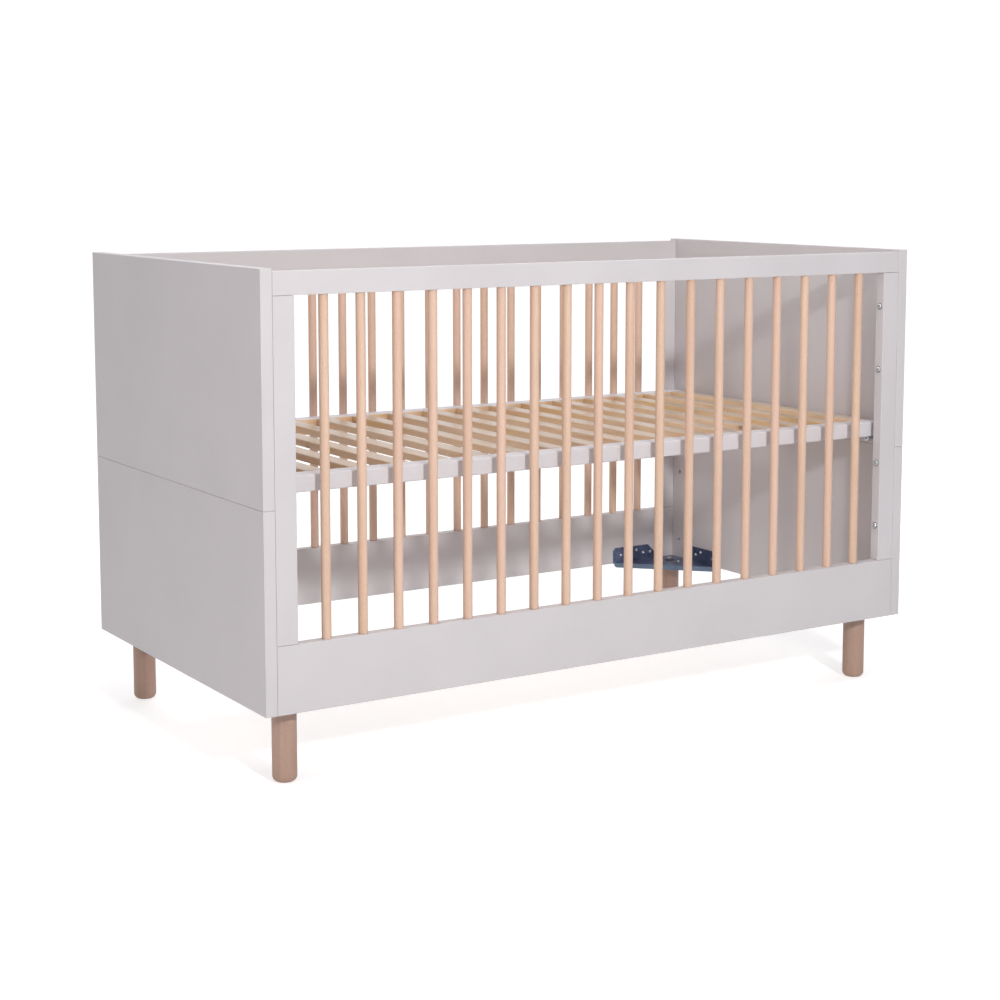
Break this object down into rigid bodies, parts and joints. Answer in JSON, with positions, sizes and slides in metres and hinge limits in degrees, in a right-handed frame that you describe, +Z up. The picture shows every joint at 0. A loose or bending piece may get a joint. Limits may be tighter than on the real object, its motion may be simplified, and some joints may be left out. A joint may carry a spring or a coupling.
{
  "type": "baby crib",
  "caption": "Baby crib with solid end panels, round-barred sides, short turned legs on steel corner brackets, and a slatted base that is set at different heights.",
  "frame": {"origin": "on the floor, under the centre of the crib's bounding box", "axes": "+X along the length, +Y from the front side to the back side, +Z up"},
  "size_m": [1.45, 0.764, 0.894],
  "materials": {
    "greige_paint": "board painted in a satin light greige",
    "beech": "turned beech with clear matt lacquer",
    "pine": "raw planed pine",
    "blued_steel": "bent sheet steel with a smooth dark blue coating"
  },
  "bodies": {
    "crib_frame": {"back_bar_01": "beech", "back_bar_02": "beech", "back_bar_03": "beech", "back_bar_04": "beech", "back_bar_05": "beech", "back_bar_06": "beech", "back_bar_07": "beech", "back_bar_08": "beech", "back_bar_09": "beech", "back_bar_10": "beech", "back_bar_11": "beech", "back_bar_12": "beech", "back_bar_13": "beech", "back_bar_14": "beech", "back_bar_15": "beech", "back_bar_16": "beech", "back_bar_17": "beech", "back_bar_18": "beech", "back_bottom_rail": "greige_paint", "back_left_stile": "greige_paint", "back_right_stile": "greige_paint", "back_top_rail": "greige_paint", "bracket_back_left": "blued_steel", "bracket_back_right": "blued_steel", "bracket_front_left": "blued_steel", "bracket_front_right": "blued_steel", "end_panel_left_lower": "greige_paint", "end_panel_left_upper": "greige_paint", "end_panel_right_lower": "greige_paint", "end_panel_right_upper": "greige_paint", "front_bar_01": "beech", "front_bar_02": "beech", "front_bar_03": "beech", "front_bar_04": "beech", "front_bar_05": "beech", "front_bar_06": "beech", "front_bar_07": "beech", "front_bar_08": "beech", "front_bar_09": "beech", "front_bar_10": "beech", "front_bar_11": "beech", "front_bar_12": "beech", "front_bar_13": "beech", "front_bar_14": "beech", "front_bar_15": "beech", "front_bar_16": "beech", "front_bar_17": "beech", "front_bar_18": "beech", "front_bottom_rail": "greige_paint", "front_left_stile": "greige_paint", "front_right_stile": "greige_paint", "front_top_rail": "greige_paint", "leg_back_left": "beech", "leg_back_right": "beech", "leg_front_left": "beech", "leg_front_right": "beech"},
    "bed_base": {"base_back_rail": "greige_paint", "base_front_rail": "greige_paint", "base_slat_grid": "pine"}
  },
  "joints": [
    {"name": "base_height", "type": "slide", "parent": "crib_frame", "child": "bed_base", "axis": [0, 0, 1], "range_m": [-0.324, 0]}
  ]
}
